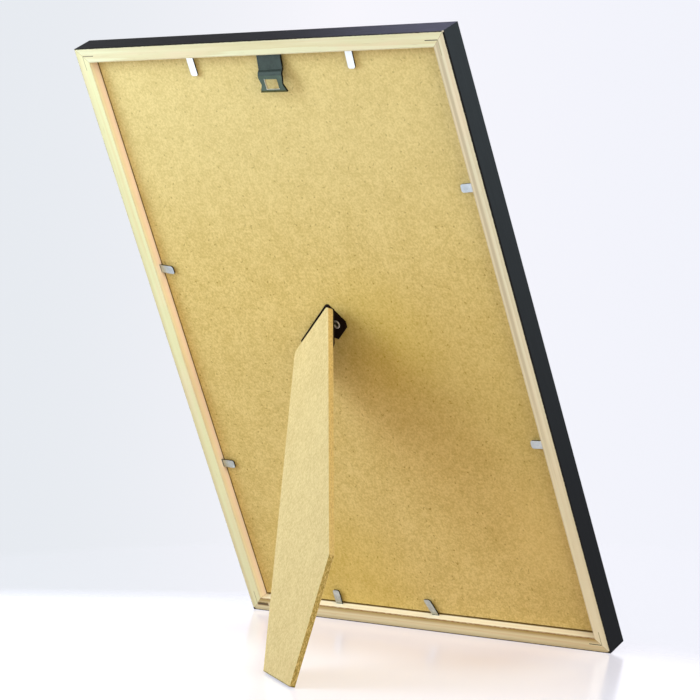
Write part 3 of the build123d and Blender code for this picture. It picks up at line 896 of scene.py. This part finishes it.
def make_world():
    """Pale all round, darker overhead where mirrored, and an even fill for everything else."""
    world = bpy.data.worlds.new("studio")
    world.use_nodes = True
    tree = world.node_tree
    tree.nodes.clear()

    def node(kind):
        return tree.nodes.new("ShaderNode" + kind)

    place = node("TexCoord").outputs["Generated"]
    height = node("SeparateXYZ")
    tree.links.new(place, height.inputs[0])
    overhead = node("MapRange")
    overhead.interpolation_type = "SMOOTHSTEP"
    overhead.inputs["From Min"].default_value, overhead.inputs["From Max"].default_value = CEILING_FROM
    tree.links.new(height.outputs["Z"], overhead.inputs["Value"])
    sideways = node("VectorMath")
    sideways.operation = "DOT_PRODUCT"
    tree.links.new(place, sideways.inputs[0])
    sideways.inputs[1].default_value = camera_right()
    turn = node("MapRange")
    turn.interpolation_type = "SMOOTHSTEP"
    turn.inputs["From Min"].default_value = -BACKDROP_TURN
    turn.inputs["From Max"].default_value = BACKDROP_TURN
    tree.links.new(sideways.outputs["Value"], turn.inputs["Value"])
    wall = node("ValToRGB")
    wall.color_ramp.elements.new(0.5)
    for stop, shade in zip(wall.color_ramp.elements, (BACKDROP_LEFT, BACKDROP_MID, BACKDROP_RIGHT)):
        stop.color = colour(*shade)
    tree.links.new(turn.outputs[0], wall.inputs[0])
    room = node("Mix")
    room.data_type = "RGBA"
    tree.links.new(wall.outputs[0], room.inputs[6])
    room.inputs[7].default_value = colour(*CEILING)
    tree.links.new(overhead.outputs[0], room.inputs[0])
    shown = node("Background")
    tree.links.new(room.outputs[2], shown.inputs["Color"])
    fill = node("Background")
    fill.inputs["Color"].default_value = colour(*FILL)
    fill.inputs["Strength"].default_value = FILL_STRENGTH
    either = node("MixShader")
    tree.links.new(seen_directly(tree), either.inputs[0])
    tree.links.new(fill.outputs[0], either.inputs[1])
    tree.links.new(shown.outputs[0], either.inputs[2])
    tree.links.new(either.outputs[0], node("OutputWorld").inputs["Surface"])
    bpy.context.scene.world = world


def make_floor():
    """White paper that keeps the shadow, glows a little where it is seen, glows less beside the frame as
    painted shade, and fades into the backdrop.
    """
    mesh = bpy.data.meshes.new("floor")
    half = FLOOR_SIZE / 2
    corners = [(-half, -half, 0), (half, -half, 0), (half, half, 0), (-half, half, 0)]
    mesh.from_pydata(corners, [], [(0, 1, 2, 3)])
    floor = bpy.data.objects.new("floor", mesh)
    floor.location.z = cad_box[0].z
    bpy.context.scene.collection.objects.link(floor)
    shader = Shader("white_floor")
    far = shader.step(shader.vector("LENGTH", shader.coordinates), *FLOOR_FADE)
    shown = seen_directly(shader.tree)
    white = shader.blend(shown, colour(*FLOOR_BOUNCE), colour(*FLOOR_WHITE))
    across, deep, _ = shader.split(shader.coordinates)
    # Painted shade: the floor glows less in a patch beside the frame
    floor_shade = shader.both(shader.step(deep, *FLOOR_SHADE_FROM), shader.step(deep, *FLOOR_SHADE_TO))
    floor_shade = shader.both(floor_shade, shader.step(shader.math("ABSOLUTE", across), *FLOOR_SHADE_WIDE))
    glow = shader.blend(floor_shade, colour(*FLOOR_GLOW), colour(*FLOOR_SHADE_GLOW))
    paper = shader.node("BsdfPrincipled", {
        "Base Color": white,
        "Roughness": FLOOR_ROUGH,
        "Emission Color": glow,
        "Emission Strength": shown,
    })
    past = [
        shader.math("SUBTRACT", shader.vector("DOT_PRODUCT", shader.coordinates, way), start)
        for way, start in FLOOR_BACKS
    ]
    thin = shader.step(shader.math("MAXIMUM", *past), -FLOOR_SOFT, FLOOR_SOFT)
    thin = shader.math("MULTIPLY", shader.both(thin, shown), FLOOR_THIN)
    gone = shader.math("MAXIMUM", far, thin)
    beyond = shader.node("BsdfTransparent")
    faded = shader.node("MixShader", {0: gone, 1: paper.outputs[0], 2: beyond.outputs[0]})
    shader.node("OutputMaterial", {"Surface": faded.outputs[0]})
    mesh.materials.append(shader.material)


def make_lamp(name, target):
    lamp = LAMPS[name]
    data = bpy.data.lights.new(name, "AREA")
    data.color = LAMP_TINTS[name]
    data.shape = "SQUARE"
    data.size = lamp["size"]
    data.energy = lamp["power"]
    light = bpy.data.objects.new(name, data)
    away = Vector(lamp["way"]).normalized()
    light.location = target + away * lamp["distance"]
    light.rotation_mode = "QUATERNION"
    light.rotation_quaternion = (-away).to_track_quat("-Z", "Y")
    bpy.context.scene.collection.objects.link(light)


def make_camera():
    data = bpy.data.cameras.new("camera")
    data.lens = CAMERA_LENS
    data.sensor_width = CAMERA_SENSOR
    camera = bpy.data.objects.new("camera", data)
    bpy.context.scene.collection.objects.link(camera)
    around = math.radians(CAMERA_AZIMUTH)
    above = math.radians(CAMERA_ELEVATION)
    away = Vector((math.sin(around) * math.cos(above), -math.cos(around) * math.cos(above), math.sin(above)))
    camera.location = CAMERA_AIM + away * CAMERA_DISTANCE
    camera.rotation_mode = "QUATERNION"
    level = (-away).to_track_quat("-Z", "Y")
    camera.rotation_quaternion = level @ Quaternion((0, 0, 1), math.radians(CAMERA_ROLL))
    bpy.context.scene.camera = camera


make_world()
make_floor()
centre = (cad_box[0] + cad_box[1]) / 2
make_lamp("key", middle + UP * KEY_UP - RIGHT * KEY_LEFT)
for name in ("left", "front"):
    make_lamp(name, centre)
make_lamp("side", centre - UP * SIDE_DOWN)
make_lamp("top", middle + UP * (outer_h / 2 * MM) + RIGHT * (outer_w / 2 * MM + TOP_PAST))
make_camera()
bpy.context.scene.view_settings.view_transform = "Standard"
